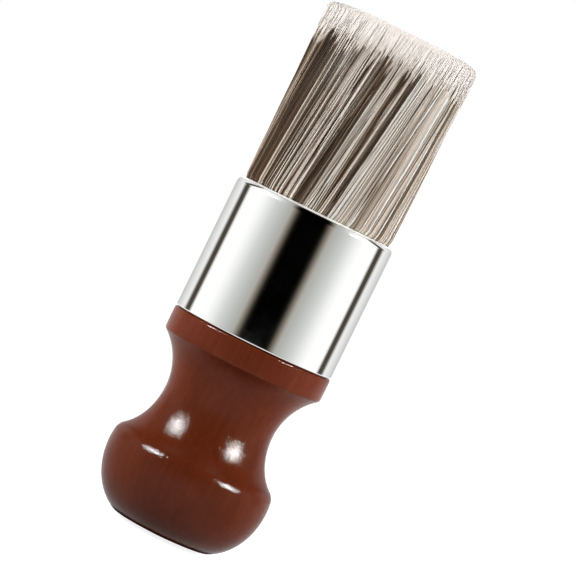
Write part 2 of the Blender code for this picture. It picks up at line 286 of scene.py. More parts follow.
def lacquered_beech(s):
    """Turned beech, stained red-brown and dipped in clear lacquer. The stain hides most of its
    grain, so the eye gets a deep even colour with faint long streaks, under a glossy coat whose
    highlights break up into glints, because the lacquer sinks a little into the pores."""
    made, add, shader = new_material("stained_lacquered_beech")
    place = add("TexCoord").outputs["Object"]
    # Grain runs along the handle: 1 mm wide streaks, some 12 mm long
    along = add("Mapping", {"Vector": place, "Scale": (1, 1, 0.08)})
    streaks = add("TexNoise", {"Vector": along, "Scale": per_mm(1), "Detail": 4, "Roughness": 0.6})
    # Uneven take-up of the stain, in clouds of about 9 mm
    clouds = add("TexNoise", {"Vector": place, "Scale": per_mm(0.11), "Detail": 2})
    mixed = add("Mix", {0: 0.45, 2: streaks, 3: clouds}, data_type="FLOAT")
    tone = add("ValToRGB", {"Fac": mixed}, stops=[
        (0.3, s.stain_dark), (0.5, s.stain), (0.72, s.stain_light),
    ])
    # The lacquer's peel, in bumps of 0.4 mm that lean up to some 8 degrees
    peel = add("TexNoise", {"Vector": place, "Scale": per_mm(2.5), "Detail": 1.5, "Roughness": 0.6})
    relief = add("Bump", {"Strength": 1, "Distance": mm(0.085), "Height": peel})
    # Painted shade: the colour is darker towards the foot (0.75 of it below 28 mm, 0.92 above 42 mm),
    # for the bulb's lower light
    height = add("SeparateXYZ", (place,)).outputs["Z"]
    depth = add("MapRange", (height, mm(28), mm(42), 0.75, 0.92), interpolation_type="SMOOTHSTEP")
    painted_shade_tone = add("VectorMath", {0: tone, "Scale": depth}, "SCALE")
    set_inputs(shader, {
        "Base Color": painted_shade_tone, "Normal": relief, "Coat Normal": relief, "Roughness": 0.6,
        "Specular IOR Level": 0, "Coat Weight": 0.7, "Coat Roughness": 0.055, "Coat IOR": 1.2,
    })
    return made


def chrome_plate(s):
    """Bright chrome on a drawn brass tube, buffed before plating. It mirrors its surroundings
    almost whole, with a breath of haze where fingers have been and the softest waviness."""
    made, add, shader = new_material("polished_chrome_plate")
    place = add("TexCoord").outputs["Object"]
    haze = add("TexNoise", {"Vector": place, "Scale": per_mm(0.18), "Detail": 3})
    rough = add("MapRange", (haze, 0.35, 0.75, 0.03, 0.055))
    # The buffing wheel doesn't reach the cut edge of the lip
    height = add("SeparateXYZ", (place,)).outputs["Z"]
    edge = (FERRULE_HIGH.z - mm(0.95), FERRULE_HIGH.z - mm(0.4))
    dull = add("MapRange", (height, *edge, rough, 0.42), interpolation_type="SMOOTHSTEP")
    # Buffing marks round the tube, drawn some 0.15 mm wide so that they can show
    rings = add("Mapping", {"Vector": place, "Scale": (0.06, 0.06, 1)})
    buffing = add("TexNoise", {"Vector": rings, "Scale": per_mm(6)})
    relief = add("Bump", {"Strength": 0.05, "Distance": mm(0.01), "Height": buffing})
    set_inputs(shader, {"Base Color": (*s.plate, 1), "Metallic": 1, "Roughness": dull, "Normal": relief})
    return made


FILAMENT_MAP = "OFBake"  # U is a filament's shade, V runs from its root to its tip
TIP_STARTS = 0.8  # V where a filament's pale end begins
COLUMN = 1 / 200  # width of a filament in that map


def nylon(name, roughness):
    """Extruded nylon without its colour yet, and the U and V of its filament map."""
    made, add, shader = new_material(name)
    set_inputs(shader, {"Roughness": roughness, "IOR": 1.53, "Specular IOR Level": 0.02})
    strip = add("UVMap", uv_map=FILAMENT_MAP)
    across, along = add("SeparateXYZ", (strip,)).outputs[:2]
    return made, add, shader, across, along


def nylon_filament(s):
    """Nylon in several browns, feathered and left undyed at the tips. Each filament has one
    shade for its whole length, which makes the knot streaky, and fades to cream at its end."""
    made, add, shader, across, along = nylon("feathered_nylon_filament", 0.42)
    shade = add("ValToRGB", {"Fac": across}, stops=[
        (0.03, s.rust), (0.06, s.dark), (0.24, s.brown), (0.42, s.taupe), (0.6, s.fawn),
        (0.77, s.pale), (0.93, s.cream), (0.97, s.cool),
    ])
    edge = (TIP_STARTS - 0.014, TIP_STARTS + 0.025)
    fade = add("MapRange", (along, *edge), interpolation_type="SMOOTHSTEP")
    end = add("ValToRGB", {"Fac": along}, stops=[(TIP_STARTS, s.fading), (0.93, s.tip)])
    colour = add("Mix", {0: fade, 6: shade, 7: end}, data_type="RGBA")
    set_inputs(shader, {"Base Color": colour.outputs[2]})
    return made


def split_fibre(s):
    """The same nylon where it is split into fine fibres, which scatter so much light that the
    ends of the knot look nearly white."""
    made, add, shader, _, along = nylon("split_nylon_fibre", 0.5)
    tone = add("ValToRGB", {"Fac": along}, stops=[(0, s.pale), (0.25, s.tip)])
    set_inputs(shader, {"Base Color": tone})
    return made


def two_toned(add, shader, tones, colouring, lumps, strength, height, roughness):
    """Gives a shader two tones, as (place, colour), by one pattern and bumps by another."""
    tone = add("ValToRGB", {"Fac": colouring}, stops=[(at, srgb(text)) for at, text in tones])
    relief = add("Bump", {"Strength": strength, "Distance": height, "Height": lumps})
    set_inputs(shader, {"Base Color": tone, "Normal": relief, "Roughness": roughness})


def cast_resin():
    """Amber epoxy, poured and set: clear gloss over a cloudy body with a few small bubbles."""
    made, add, shader = new_material("cast_amber_epoxy")
    place = add("TexCoord").outputs["Object"]
    clouds = add("TexNoise", {"Vector": place, "Scale": per_mm(0.3), "Detail": 3})
    bubbles = add("TexVoronoi", {"Vector": place, "Scale": per_mm(0.7)})
    tones = ((0.35, "9A6A30"), (0.7, "C99A56"))
    two_toned(add, shader, tones, clouds, bubbles.outputs["Distance"], 0.2, mm(0.1), 0.22)
    return made


def waxed_linen():
    """Waxed linen thread, laid up from plies: short slanting ribs with a dull waxy shine."""
    made, add, shader = new_material("waxed_linen_thread")
    place = add("TexCoord").outputs["Object"]
    slant = add("Mapping", {"Vector": place, "Rotation": (0, 0.6, 0.6)})
    wave = add("TexWave", {"Vector": slant, "Scale": per_mm(0.5), "Distortion": 2, "Detail": 2})
    plies = wave.outputs[1]
    tones = ((0.1, "B7A788"), (0.8, "E3D8BF"))
    two_toned(add, shader, tones, plies, plies, 0.5, mm(0.05), 0.6)
    return made


def set_glue():
    """Wood glue that has squeezed into its groove and set: yellow, half clear, a little lumpy."""
    made, add, shader = new_material("set_wood_glue")
    place = add("TexCoord").outputs["Object"]
    lumps = add("TexNoise", {"Vector": place, "Scale": per_mm(0.6), "Detail": 2})
    tones = ((0.35, "C9A25C"), (0.7, "E2C88F"))
    two_toned(add, shader, tones, lumps, lumps, 0.4, mm(0.1), 0.35)
    return made


def deselect():
    bpy.ops.object.select_all(action="DESELECT")


def select_all():
    bpy.ops.mesh.select_all(action="SELECT")


def edit():
    """Enters edit mode with every vertex selected."""
    bpy.ops.object.mode_set(mode="EDIT")
    bpy.ops.mesh.select_mode(type="VERT")
    select_all()


def extrude(by):
    bpy.ops.mesh.extrude_region_move(TRANSFORM_OT_translate={"value": by})


def face_outwards():
    """Turns all faces outwards, in edit mode."""
    select_all()
    bpy.ops.mesh.normals_make_consistent(inside=False)


def settle(name):
    """Ends a piece: its place goes into its mesh, its object stays at the origin."""
    if bpy.context.mode != "OBJECT":
        bpy.ops.object.mode_set(mode="OBJECT")
    obj = bpy.context.object
    obj.name = name
    obj.data.name = name
    bpy.ops.object.transform_apply(location=True, rotation=True, scale=True)
    return obj


def smooth_rounds():
    """Shades a piece's rounds smooth and leaves its edges sharp."""
    bpy.ops.object.shade_smooth_by_angle(angle=SMOOTH_BELOW)


def finish_piece(obj, material, slot, *nodes):
    """Gives a piece its finish, seats it on the brush and hides the solids that it stands for."""
    obj.data.materials.clear()
    obj.data.materials.append(material)
    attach(obj, BODY)
    if nodes:
        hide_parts(*nodes)
    return obj


def select_ring(radius, height):
    """Selects the edges of one ring round the axis, in edit mode."""
    bpy.ops.mesh.select_all(action="DESELECT")
    bpy.ops.mesh.select_mode(type="EDGE")
    obj = bpy.context.object
    bm = bmesh.from_edit_mesh(obj.data)
    for edge in bm.edges:
        ends = [obj.matrix_world @ v.co for v in edge.verts]
        away = [max(abs(p.z - height), abs(p.xy.length - radius)) for p in ends]
        edge.select_set(max(away) < SAME_PLACE)
    bmesh.update_edit_mesh(obj.data)


def ease_ring(radius, height, ease, segments):
    """Rounds the edges of one ring round the axis, in edit mode."""
    select_ring(radius, height)
    bpy.ops.mesh.bevel(offset=ease, segments=segments, affect="EDGES", clamp_overlap=False)


def turn(profile):
    """Draws a profile of (radius, height) points, vertex by vertex from the origin, and spins
    it round Z. It stays in edit mode."""
    deselect()
    bpy.ops.mesh.primitive_plane_add(size=mm(1))
    edit()
    bpy.ops.mesh.merge(type="CENTER")
    here = Vector((0, 0, 0))
    for radius, height in profile[1:]:
        there = Vector((radius, 0, height))
        extrude(there - here)
        here = there
    select_all()
    bpy.ops.mesh.spin(steps=TURNED_SEGMENTS, angle=2 * pi, center=(0, 0, 0), axis=(0, 0, 1))
    select_all()
    bpy.ops.mesh.remove_doubles(threshold=SAME_PLACE)
    face_outwards()


def arc(centre, half_width, half_height, start, end, steps):
    """Points of an ellipse's arc. Its angles run from +radius towards +Z, ends included."""
    angles = [start + (end - start) * i / steps for i in range(steps + 1)]
    return [(centre[0] + half_width * cos(a), centre[1] + half_height * sin(a)) for a in angles]


def clear_of(points, corners):
    """The points without those that the bevel of a corner (place, ease) would swallow."""
    def stays(point):
        away = [((Vector(point) - Vector(place)).length, ease) for place, ease in corners]
        return all(length > ease or length == 0 for length, ease in away)

    return [point for point in points if stays(point)]


def handle_profile(s):
    """The handle's outline from the foot to the end of its tenon, with sharp corners, and the
    corners that are to be sanded round, as (place, ease)."""
    neck = s.bulb_height + s.bulb_shoulder + s.lower_cove
    collar = neck + s.upper_cove
    collar_radius = FERRULE_HIGH.x + s.collar_proud
    bulb = ((s.bulb_middle, s.bulb_height), HANDLE_HIGH.x - s.bulb_middle, s.bulb_height)
    palm = [(s.foot_flat, 0)]
    palm += [point for point in arc(*bulb, -pi / 2, 0, steps=36) if point[0] > s.foot_edge]
    palm += arc(*bulb, 0, asin(s.bulb_shoulder / s.bulb_height), steps=8)[1:]

    def cove(end, sweep):
        half_height = (end[1] - neck) / sin(sweep)
        half_width = (end[0] - s.neck_radius) / (1 - cos(sweep))
        middle = (s.neck_radius + half_width, neck)
        return arc(middle, -half_width, half_height, 0, sweep, steps=26)

    lower = cove(palm[-1], s.lower_sweep)[::-1]
    upper = cove((collar_radius, collar), s.upper_sweep)[1:]
    barrel = [
        (collar_radius + s.collar_barrel * 4 * t * (1 - t), collar + s.collar_height * t)
        for t in (i / 8 for i in range(1, 9))
    ]
    corners = [(palm[-1], s.arris_ease), (upper[-1], s.collar_ease), (barrel[-1], s.shoulder_ease)]
    outer = clear_of(palm[:-1] + lower + upper + barrel, corners)

    fit, end = PLUG_HIGH.x, HANDLE_HIGH.z
    floor = fit - s.groove_depth
    tenon = [(fit, collar + s.collar_height)]
    for ring in GLUE_RINGS:
        low, high = (corner.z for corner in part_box(ring))
        low, high = low - FIT_GAP, high + FIT_GAP
        tenon += [(fit, low), (floor, low), (floor, high), (fit, high)]
    tenon += [(fit, end - s.tenon_chamfer), (fit - s.tenon_chamfer, end), (0, end)]
    return [(0, 0), *outer, *tenon], corners


class POLISH_BRUSH_OT_turn_handle(bpy.types.Operator):
    """Turns the handle from foot to tenon, sands its edges and lacquers it"""
    bl_idname = "polish_brush.turn_handle"
    bl_label = "Turn Handle"

    def execute(self, context):
        s = context.scene.polish_brush_handle
        profile, corners = handle_profile(s)
        turn(profile)
        for place, ease in corners:
            ease_ring(*place, ease, segments=6)
        obj = settle("turned_handle")
        smooth_rounds()
        finish_piece(obj, lacquered_beech(s), "handle_wood", "handle")
        return {"FINISHED"}


class POLISH_BRUSH_OT_draw_ferrule(bpy.types.Operator):
    """Draws the ferrule's tube, turns its lip in, eases its lower rim and plates it"""
    bl_idname = "polish_brush.draw_ferrule"
    bl_label = "Draw Ferrule"

    def execute(self, context):
        s = context.scene.polish_brush_ferrule
        radius, base = FERRULE_HIGH.x, FERRULE_LOW.z
        bend, bend_height = s.lip_bend, FERRULE_HIGH.z - s.lip_start
        deselect()
        bpy.ops.mesh.primitive_cylinder_add(
            vertices=TURNED_SEGMENTS, radius=radius, depth=bend_height - base,
            end_fill_type="NOTHING", location=(0, 0, (base + bend_height) / 2),
        )
        edit()
        select_ring(radius, bend_height)
        lip = arc((radius - bend, bend_height), bend, bend, 0, s.lip_turn, steps=14)
        here, *lip = [Vector((x, 0, z)) for x, z in lip]
        for there in lip:
            extrude((0, 0, there.z - here.z))
            scale = there.x / here.x
            bpy.ops.transform.resize(value=(scale, scale, 1), center_override=(0, 0, there.z))
            here = there
        obj = settle("ferrule_sleeve")
        shell = obj.modifiers.new("wall", "SOLIDIFY")
        shell.thickness = s.wall
        shell.offset = -1
        shell.use_even_offset = True
        bpy.ops.object.modifier_apply(modifier=shell.name)
        edit()
        ease_ring(radius, base, s.rim_ease, segments=5)
        # Rings close to both bends keep the long wall straight in the mirror
        for height in (base + s.rim_ease + BEND_RING, bend_height - BEND_RING):
            select_all()
            bpy.ops.mesh.bisect(plane_co=(0, 0, height), plane_no=(0, 0, 1))
        settle("ferrule_sleeve")
        smooth_rounds()
        finish_piece(obj, chrome_plate(s), "ferrule_chrome", "ferrule")
        return {"FINISHED"}


class POLISH_BRUSH_OT_wind_binding(bpy.types.Operator):
    """Winds the thread that ties the roots of the knot"""
    bl_idname = "polish_brush.wind_binding"
    bl_label = "Wind Binding"

    def execute(self, context):
        s = context.scene.polish_brush_binding
        half = s.thread / 2
        height = THREAD_HIGH.z - THREAD_LOW.z
        deselect()
        bpy.ops.mesh.primitive_circle_add(
            vertices=10, radius=half, location=(THREAD_HIGH.x - half, 0, THREAD_LOW.z + half),
            rotation=(pi / 2, 0, 0),
        )
        obj = settle("binding_thread")
        winding = obj.modifiers.new("winding", "SCREW")
        winding.angle = 2 * pi * s.turns
        winding.screw_offset = height - s.thread
        winding.steps = 48 * s.turns
        winding.render_steps = 48 * s.turns
        bpy.ops.object.modifier_apply(modifier=winding.name)
        edit()
        bpy.ops.mesh.fill_holes(sides=0)
        face_outwards()
        settle("binding_thread")
        # The knot widens towards its lip, so the last turn is the widest
        for vert in obj.data.vertices:
            flat = vert.co.xy
            left = 1 - (vert.co.z - THREAD_LOW.z) / height
            flat *= 1 - left * s.widening / flat.length
            vert.co.xy = flat
        bpy.ops.object.shade_smooth()
        finish_piece(obj, waxed_linen(), "binding_thread", "root_binding")
        return {"FINISHED"}


SIDES = 3  # of a filament
SEED = 20  # of the filaments' small differences
FIBRE_SEED = 27  # of the fibres' differences
GOLDEN_TURN = pi * (3 - sqrt(5))  # spreads places evenly over a disc
LAYER_STEP = 0.75  # between layers of the skin, in thicknesses of a filament
NEIGHBOUR_STEP = 1.02  # between filaments of a layer, in thicknesses
SKIN_FROM = 0.94  # of the knot's radius, where the locks that stand out start
RIM_POWER = 30  # keeps the rounding of the crown close to its rim
RISE_LENGTH = mm(0.4)  # over which the knot swells above the lip
ROOT_SUNK = mm(0.6)  # of a filament, in the potting
LAST_STATION = mm(1.2)  # from a filament's last station but one to its tip
CORE, MANTLE = 0.24, 0.62  # shares of the filaments, from the axis out, where these pieces end
# How the knot's shades run from its left (-1) to its right (1), partly its dyes and partly
# painted shade at its left and painted light at its right: the least shade, how far shades go
# over it, the power that gathers them at the dark end (over 1) or the pale end (under 1), and
# the palest shade
DYES_AND_SIDE_LIGHT = (
    (-1, -0.7, -0.25, 0.25, 0.72, 1),
    (-1.05, -0.97, -0.11, -0.15, 0.21, 0.21),
    (1.85, 1.85, 1.3, 1.24, 0.54, 0.54),
    (1, 1, 1, 1.15, 0.75, 0.75),
    (0.58, 0.62, 0.84, 0.86, 0.69, 0.69),
)
RUST_SHADE, COOL_SHADE = 0.02, 0.985  # of the two odd dyes that a few filaments have
# Locks that stand out of the skin, as (angle round the base, width, how much paler)
LOCKS = (
    (-86, 1.9, -1.3), (-105.7, 1.5, -1.1), (-147.5, 1.9, -1.4), (-159, 1.9, -1.4),
    (-97, 1.7, 1.5), (-55, 2.2, 1.5),
)


def filament(stations):
    """One straight three-sided filament, drawn upwards in stations a metre apart. Gives the
    station and the corner of each of its vertices, and its faces as lists of vertices."""
    deselect()
    bpy.ops.mesh.primitive_circle_add(vertices=SIDES, radius=1, fill_type="NGON")
    edit()
    for _ in range(stations - 1):
        extrude((0, 0, 1))
    face_outwards()
    obj = settle("filament")
    turns = [(v.co.xy.angle_signed(Vector((1, 0))) / (2 * pi)) % 1 for v in obj.data.vertices]
    station = np.array([round(v.co.z) for v in obj.data.vertices])
    corner = np.array([round(turn * SIDES) % SIDES for turn in turns])
    faces = [list(face.vertices) for face in obj.data.polygons]
    bpy.data.objects.remove(obj)
    return station, corner, faces


def from_axis(radius, turned):
    """x and y, as the last axis, of places at a radius and an angle."""
    return np.stack([radius * np.cos(turned), radius * np.sin(turned)], axis=-1)


def even_places(count, rng, stray):
    """Places spread evenly over a unit disc from its middle outwards, each a little astray."""
    numbers = np.arange(count)
    places = from_axis(np.sqrt((numbers + 0.5) / count), numbers * GOLDEN_TURN)
    places += rng.normal(0, stray * sqrt(pi / count), places.shape)
    return places / np.maximum(1, np.linalg.norm(places, axis=1))[:, None]


def locks(angles, width, rng):
    """Number of the lock that each angle round the knot falls in, and how many locks there are.
    Widths of locks, as angles, stray as chance spacings do, and none is very narrow."""
    ends = np.cumsum(rng.exponential(width, int(4 * pi / width)) + width * 0.15)
    ends = ends[ends < 2 * pi]
    return np.searchsorted(ends, angles % (2 * pi)), len(ends) + 1


def lip_inside(s):
    """Radius and height of the middle of the cut edge of the ferrule's lip."""
    inward = s.lip_bend * (1 - cos(s.lip_turn)) + s.wall / 2 * cos(s.lip_turn)
    height = FERRULE_HIGH.z - s.lip_start + (s.lip_bend - s.wall / 2) * sin(s.lip_turn)
    return FERRULE_HIGH.x - inward, height


class Growth:
    """Where every filament of the knot starts, how it runs and how it is dyed."""

    # How far light takes the last three stations to face the sky, which evens out both sides
    skyward = (0.2, 0.5, 0.6)

    def __init__(self, s, lip, count, seed, thickness, layers, inset=0):
        rng = np.random.default_rng(seed)
        self.s = s
        self.lip_radius, self.lip_height = lip
        # The skin: layers of filaments that lie side by side. Under it they stand evenly
        step = LAYER_STEP * thickness / KNOT_REACH
        layer_count = int(2 * pi * KNOT_REACH / (NEIGHBOUR_STEP * thickness))
        layer = np.repeat(np.arange(layers), layer_count)
        turned = rng.uniform(-0.35, 0.35, layer.size) + np.arange(layer.size) + 0.5 * layer
        turned = turned * 2 * pi / layer_count
        skin = 1 - inset / KNOT_REACH - step * (layer + rng.uniform(0, 0.5, layer.size))
        bulk = even_places(count - layer.size, rng, stray=0.3) * (1 - step * layers)
        self.places = np.concatenate([bulk, from_axis(skin, turned)])
        layer = np.concatenate([np.full(len(bulk), layers), layer])
        outward = np.linalg.norm(self.places, axis=1)
        self.angles = np.arctan2(*self.places.T[::-1])
        # From -1 at the knot's left to 1 at its right, where half of its twist is done
        side = np.cos(self.angles + s.twist / 2)

        # Each layer has locks of its own, and narrower ones whose dye ends at one height
        tone = rng.normal(0, 0.9, count)
        self.turn = np.zeros(count)
        spike = np.zeros(count)
        for number in range(layers + 1):
            here = layer == number
            own, many = locks(self.angles[here], s.lock_width / KNOT_REACH, rng)
            tone[here] += rng.normal(0, 0.7, many)[own]
            self.turn[here] = rng.normal(0, s.lock_stray, many)[own]
            own, many = locks(self.angles[here], 0.6 * s.lock_width / KNOT_REACH, rng)
            spike[here] = rng.normal(0, mm(1.3), many)[own]
        for middle, width, paler in LOCKS:
            apart = (np.degrees(self.angles) - middle + 180) % 360 - 180
            tone += paler * np.exp(-(apart / width) ** 2) * (outward > SKIN_FROM)
        self.turn += rng.normal(0, s.stray, count)
        self.turn[layer == layers] *= 0.5

        crown = s.headroom + s.dome * outward ** 2 + s.shoulder * outward ** RIM_POWER
        self.tip = KNOT_HIGH.z - crown - s.uneven * rng.random(count) ** 2
        # The pale ends are longest at both sides of the knot, and longer at its right
        pale = s.pale_tip - mm(1.2) * (1 - side ** 2) + mm(0.5) * side
        pale += spike + rng.normal(0, mm(1), count)
        self.fade = self.tip - np.clip(pale, mm(3), mm(13))

        # Chances run evenly from 0 to 1, and the table of shades by side turns them into shades for
        # each side: partly dye, and partly painted shade at the left and painted light at the right
        rank = np.argsort(np.argsort(tone)) / count
        least, span, power, most = (np.interp(side, DYES_AND_SIDE_LIGHT[0], row) for row in DYES_AND_SIDE_LIGHT[1:])
        self.shade = 0.06 + 0.87 * np.clip(least + span * rank ** power, 0, most)
        self.shade[rng.random(count) < 0.07 * (side < 0.3)] = RUST_SHADE
        self.shade[rng.random(count) < np.maximum(0, 0.04 + 0.08 * side)] = COOL_SHADE

        self.sway, self.spin = rng.uniform(0, 2 * pi, (2, count))
        self.width = thickness * rng.uniform(0.85, 1.2, count)
        self.taper = s.tip_thickness / s.thickness

    def heights(self, chosen, stations):
        """Heights of the chosen filaments' stations, root first. Over the lip they are closer
        together near it, and one lies where a filament turns pale."""
        root = np.full(len(chosen), ROOT_TOP - ROOT_SUNK)
        lip = np.full(len(chosen), self.lip_height)
        fade, tip = self.fade[chosen], self.tip[chosen]
        shares = [(i / (stations - 4)) ** 2.3 for i in range(1, stations - 4)]
        between = [lip + (fade - lip) * part for part in shares]
        return np.stack([root, lip, *between, fade, tip - LAST_STATION, tip], axis=1)

    def middles(self, chosen, heights):
        """Middle of the chosen filaments at those heights, as (filament, station, xyz)."""
        s = self.s
        below = np.clip((heights - ROOT_TOP) / (self.lip_height - ROOT_TOP), 0, 1)
        above = np.maximum(heights - self.lip_height, 0)
        rise = above / (KNOT_HIGH.z - self.lip_height)
        lip_radius = self.lip_radius - s.lip_room
        reach = ROOT_REACH + (lip_radius - ROOT_REACH) * below
        reach = reach + s.bulge * (1 - np.exp(-above / RISE_LENGTH))
        reach = reach + (KNOT_REACH - lip_radius - s.bulge) * rise
        # Each filament wavers a little on its way
        wave = 0.2 * s.thickness * np.sin(self.sway[chosen, None] + 7 * rise)
        reach = reach - s.thickness + wave * np.minimum(1, 4 * rise)
        flat = self.places[chosen, None] * reach[..., None]
        turned = (s.twist + self.turn[chosen, None]) * rise
        x = flat[..., 0] * np.cos(turned) - flat[..., 1] * np.sin(turned)
        y = flat[..., 0] * np.sin(turned) + flat[..., 1] * np.cos(turned)
        x += s.sway * (0.4 + 0.6 * rise) * np.minimum(1, 40 * rise)
        return np.stack([x, y, heights], axis=2)

    def along(self, chosen, heights):
        """V of the filament map at those heights."""
        root, fade, tip = heights[:, :1], self.fade[chosen, None], self.tip[chosen, None]
        body = TIP_STARTS * (heights - root) / (fade - root)
        end = TIP_STARTS + (1 - TIP_STARTS) * (heights - fade) / (tip - fade)
        return np.where(heights <= fade, body, end)


class Feathering(Growth):
    """The fine fibres that the ends of the filaments are split into, a little proud of them."""

    skyward = (0.6, 0.6, 0.6)

    def __init__(self, s, lip, count, seed):
        super().__init__(s, lip, count, seed, s.fibre_thickness, layers=11, inset=-mm(0.15))
        rng = np.random.default_rng(seed + 1)
        longest = s.fibre_length * (1 + 0.2 * self.places[:, 0])
        self.start = self.tip - longest * rng.uniform(0.15, 1.1, count)
        self.turn *= 0.3
        self.shade = rng.random(count)
        # A flat side of each fibre lies outwards, as combed fibres do
        self.spin = self.angles + s.twist - pi / SIDES + rng.normal(0, 0.25, count)
        self.width *= 1.2
        self.taper = 1

    def heights(self, chosen, stations):
        start, tip = self.start[chosen, None], self.tip[chosen, None]
        return start + (tip - start) * np.arange(stations) / (stations - 1)

    def along(self, chosen, heights):
        start, tip = self.start[chosen, None], self.tip[chosen, None]
        return (heights - start) / (tip - start)


def plant(name, growth, chosen, stations, material):
    """Copies one filament to each chosen place of the knot, as one mesh with its map."""
    station, corner, faces = filament(stations)
    heights = growth.heights(chosen, stations)
    middles = growth.middles(chosen, heights)[:, station]
    feather = np.clip((growth.tip[chosen, None] - heights) / growth.s.feather, 0, 1)
    half = growth.width[chosen, None] / 2 * (growth.taper + (1 - growth.taper) * feather)
    around = growth.spin[chosen, None] + 2 * pi * corner[None] / SIDES
    points = middles.copy()
    points[..., :2] += from_axis(half[:, station], around)

    # Light meets the knot as one soft surface, with a little of each filament's own roundness
    body = stations - 3
    even = np.array([growth.s.even_light] * body + [growth.s.even_tips] * 3)[station]
    upward = np.array([0] * body + list(growth.skyward))[station]
    inner = 1 - np.minimum(1, np.linalg.norm(growth.places[chosen], axis=1)) ** 8
    facing = middles / KNOT_REACH * even[:, None]
    facing[..., 2] = (1 + inner[:, None]) * upward
    facing[..., :2] += from_axis(1 - even, around)
    facing /= np.linalg.norm(facing, axis=2, keepdims=True)

    # Corner 0 of a side that closes the ring counts as the last corner, for the map
    columns = []
    for face in faces:
        corners = [corner[v] for v in face]
        closes = len(face) == 4 and max(corners) == SIDES - 1 and min(corners) == 0
        columns += [SIDES if closes and c == 0 else c for c in corners]
    loops = np.concatenate(faces)
    starts = np.cumsum([0] + [len(face) for face in faces[:-1]])
    copies = np.arange(len(chosen))[:, None]

    mesh = bpy.data.meshes.new(name)
    mesh.vertices.add(len(chosen) * len(station))
    mesh.vertices.foreach_set("co", points.astype(np.float32).ravel())
    mesh.loops.add(len(chosen) * len(loops))
    mesh.loops.foreach_set("vertex_index", (loops + copies * len(station)).ravel())
    mesh.polygons.add(len(chosen) * len(faces))
    mesh.polygons.foreach_set("loop_start", (starts + copies * len(loops)).ravel())
    mesh.update(calc_edges=True)
    strip = mesh.uv_layers.new(name=FILAMENT_MAP)
    u = growth.shade[chosen, None] * (1 - COLUMN) + COLUMN * np.array(columns) / SIDES
    v = growth.along(chosen, heights)[:, station[loops]]
    strip.data.foreach_set("uv", np.stack([u, v], axis=2).astype(np.float32).ravel())
    mesh.normals_split_custom_set_from_vertices(facing.reshape(-1, 3))
    obj = bpy.data.objects.new(name, mesh)
    bpy.context.scene.collection.objects.link(obj)
    return finish_piece(obj, material, "bristle_filament", "bristles")


class POLISH_BRUSH_OT_fill_knot(bpy.types.Operator):
    """Plants the filaments of the knot in their layer of potting"""
    bl_idname = "polish_brush.fill_knot"
    bl_label = "Fill Knot"

    def execute(self, context):
        s = context.scene.polish_brush_knot
        lip = lip_inside(context.scene.polish_brush_ferrule)
        count = s.filaments
        growth = Growth(s, lip, count, SEED, s.thickness, s.skin_layers)
        core, mantle, outer = np.split(np.arange(count), [int(count * CORE), int(count * MANTLE)])
        material = nylon_filament(s)
        plant("knot_outer", growth, outer, 8, material)
        plant("knot_mantle", growth, mantle, 8, material)
        plant("knot_core", growth, core, 6, material)
        feathering = Feathering(s, lip, s.fibres, FIBRE_SEED)
        plant("knot_feathers", feathering, np.arange(s.fibres), 3, split_fibre(s))

        deselect()
        bpy.ops.mesh.primitive_cylinder_add(
            vertices=TURNED_SEGMENTS, radius=PLUG_HIGH.x, depth=s.slice,
            location=(0, 0, ROOT_TOP - s.slice / 2),
        )
        edit()
        bpy.ops.mesh.bevel(offset=mm(0.2), segments=3, affect="EDGES")
        obj = settle("knot_potting")
        smooth_rounds()
        finish_piece(obj, cast_resin(), "potting_resin", "bristles")
        return {"FINISHED"}


class POLISH_BRUSH_OT_pour_fillings(bpy.types.Operator):
    """Gives the poured resin and the set glue their finishes"""
    bl_idname = "polish_brush.pour_fillings"
    bl_label = "Pour Fillings"

    def execute(self, context):
        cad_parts["resin_plug"].material_slots[0].material = bpy.data.materials["cast_amber_epoxy"]
        glue = set_glue()
        for ring in GLUE_RINGS:
            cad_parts[ring].material_slots[0].material = glue
        return {"FINISHED"}


def seen_directly(add):
    """1 for rays from the camera, a mirror or clear material, 0 for light that fills."""
    path = add("LightPath").outputs
    mirrored = add("Math", (path["Is Camera Ray"], path["Is Glossy Ray"]), "MAXIMUM")
    return add("Math", (mirrored, path["Is Transmission Ray"]), "MAXIMUM")


def white_world(s):
    """A white room, which fills the shadows with less light than it shows, most at the sides."""
    world = bpy.data.worlds.new("white_room")
    world.use_nodes = True
    add = partial(add_node, world.node_tree)
    toward = add("TexCoord").outputs["Generated"]
    across = add("SeparateXYZ", (toward,)).outputs["X"]
    side = add("Math", (across, 2), "POWER")
    light = add("Math", (side, s.side_fill, s.fill), "MULTIPLY_ADD")
    strength = add("MapRange", (seen_directly(add), 0, 1, light, 1))
    set_inputs(world.node_tree.nodes["Background"], {"Color": (1, 1, 1, 1), "Strength": strength})
    bpy.context.scene.world = world


def pale_floor(s):
    """A white sweep: matt, with enough light of its own to read as white and keep a shadow."""
    made, add, shader = new_material("white_paper")
    glow = add("Math", (seen_directly(add), s.floor_glow), "MULTIPLY")
    set_inputs(shader, {
        "Base Color": (0.35, 0.35, 0.35, 1), "Roughness": 1, "Specular IOR Level": 0,
        "Emission Color": (1, 1, 1, 1), "Emission Strength": glow,
    })
    return made


